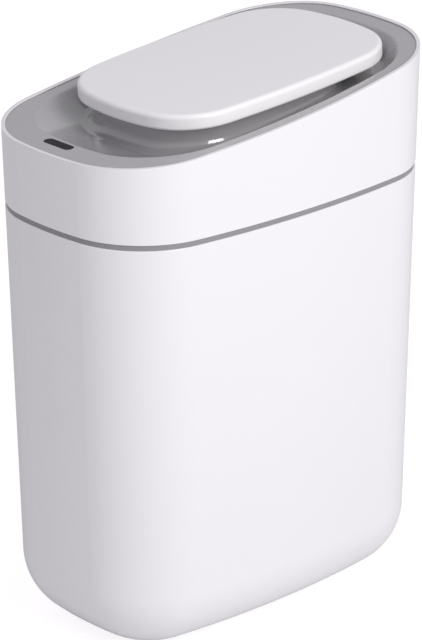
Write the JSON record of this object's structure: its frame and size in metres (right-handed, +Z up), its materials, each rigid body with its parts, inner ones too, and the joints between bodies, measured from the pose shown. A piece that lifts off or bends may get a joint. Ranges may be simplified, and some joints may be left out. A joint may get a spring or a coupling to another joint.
{
  "type": "sensor trash can",
  "caption": "Slim rounded bin with a sloping lift-off head, a motor-driven hinged lid set in a recessed bowl and a sensor window in the front ledge.",
  "frame": {"origin": "on the floor under the middle of the bin", "axes": "+Z up, -Y towards the front with the sensor, +X towards the long side with the gear train"},
  "size_m": [0.1838, 0.2943, 0.3891],
  "materials": {
    "body_plastic": "satin, pearl white",
    "deck_plastic": "glossy light grey",
    "lid_plastic": "satin, pearl white",
    "liner_plastic": "fine matte grain",
    "frame_plastic": "matte grey",
    "inner_plastic": "matte dark grey",
    "rubber": "matte",
    "seal_rubber": "matte",
    "cell_sleeve": "plain gloss sleeve",
    "nickel_plate": "plated",
    "circuit_board": "green solder mask",
    "board_plastic": "matte black",
    "dark_window": "polished, dark purple black",
    "emitter_resin": "clear resin",
    "receiver_resin": "dark resin",
    "light_resin": "tinted resin",
    "switch_plastic": "black",
    "rocker_plastic": "black",
    "shaft_steel": "ground",
    "bush_plastic": "self-lubricating, natural",
    "gear_plastic": "moulded, natural white",
    "pinion_brass": "machined",
    "motor_steel": "drawn can",
    "screw_steel": "zinc plated",
    "wire_sheath": "flexible black sheath"
  },
  "bodies": {
    "bin": {"bin_body": "body_plastic", "rubber_feet": "rubber"},
    "head": {"head_shell": "body_plastic", "deck": "deck_plastic", "head_frame": "frame_plastic", "battery_box": "inner_plastic", "batteries": "cell_sleeve", "battery_contacts": "nickel_plate", "main_board": "circuit_board", "sensor_board": "circuit_board", "board_parts": "board_plastic", "sensor_window": "dark_window", "infrared_emitter": "emitter_resin", "infrared_receiver": "receiver_resin", "status_light": "light_resin", "switch_housing": "switch_plastic", "hinge_bushes": "bush_plastic", "gear_pins": "shaft_steel", "drive_motor": "motor_steel", "gearbox_housing": "inner_plastic", "gearbox_cover": "inner_plastic", "gearbox_screws": "screw_steel", "frame_screws": "screw_steel", "gearbox_foot_screws": "screw_steel", "bay_screws": "screw_steel", "board_screws": "screw_steel", "wiring": "wire_sheath"},
    "lid": {"lid_cover": "lid_plastic", "lid_liner": "liner_plastic", "lid_seal": "seal_rubber", "hinge_shaft": "shaft_steel", "shaft_clip": "shaft_steel", "lid_sector": "gear_plastic", "lid_screws": "screw_steel"},
    "transfer_wheel": {"transfer_gear": "gear_plastic"},
    "output_wheel": {"output_gear": "gear_plastic"},
    "idler_wheel": {"idler_gear": "gear_plastic"},
    "motor_rotor": {"motor_shaft": "shaft_steel", "motor_pinion": "pinion_brass"},
    "battery_bay_door": {"battery_door": "frame_plastic"},
    "power_rocker": {"switch_rocker": "rocker_plastic"}
  },
  "joints": [
    {"name": "head_lift", "type": "slide", "parent": "bin", "child": "head", "axis": [0, 0, 1], "range_m": [0, 0.06]},
    {"name": "lid_hinge", "type": "hinge", "parent": "head", "child": "lid", "pos_m": [0, 0.1064, 0.38091], "axis": [-1, 0, 0], "range_deg": [0, 70]},
    {"name": "transfer_gear_spin", "type": "hinge", "parent": "head", "child": "transfer_wheel", "pos_m": [0, 0.0904, 0.3532], "axis": [-1, 0, 0], "range_deg": [-271, 0]},
    {"name": "output_gear_spin", "type": "hinge", "parent": "head", "child": "output_wheel", "pos_m": [0, 0.09402, 0.33968], "axis": [-1, 0, 0], "range_deg": [0, 271]},
    {"name": "idler_gear_spin", "type": "hinge", "parent": "head", "child": "idler_wheel", "pos_m": [0, 0.09736, 0.32077], "axis": [-1, 0, 0], "range_deg": [-811, 0]},
    {"name": "motor_spin", "type": "hinge", "parent": "head", "child": "motor_rotor", "pos_m": [0, 0.11627, 0.3241], "axis": [-1, 0, 0], "range_deg": [0, 2431]},
    {"name": "battery_door_hinge", "type": "hinge", "parent": "head", "child": "battery_bay_door", "pos_m": [0, -0.0874, 0.3004], "axis": [1, 0, 0], "range_deg": [0, 80]},
    {"name": "power_rocker_tilt", "type": "hinge", "parent": "head", "child": "power_rocker", "pos_m": [0, 0.14324, 0.32805], "axis": [0, -0.0218, -0.9998], "range_deg": [0, 18]}
  ],
  "couplings": [
    {"joint": "transfer_gear_spin", "follows": "lid_hinge", "ratio": -3.5714},
    {"joint": "output_gear_spin", "follows": "lid_hinge", "ratio": 3.5714},
    {"joint": "idler_gear_spin", "follows": "lid_hinge", "ratio": -10.714},
    {"joint": "motor_spin", "follows": "lid_hinge", "ratio": 32.143}
  ]
}
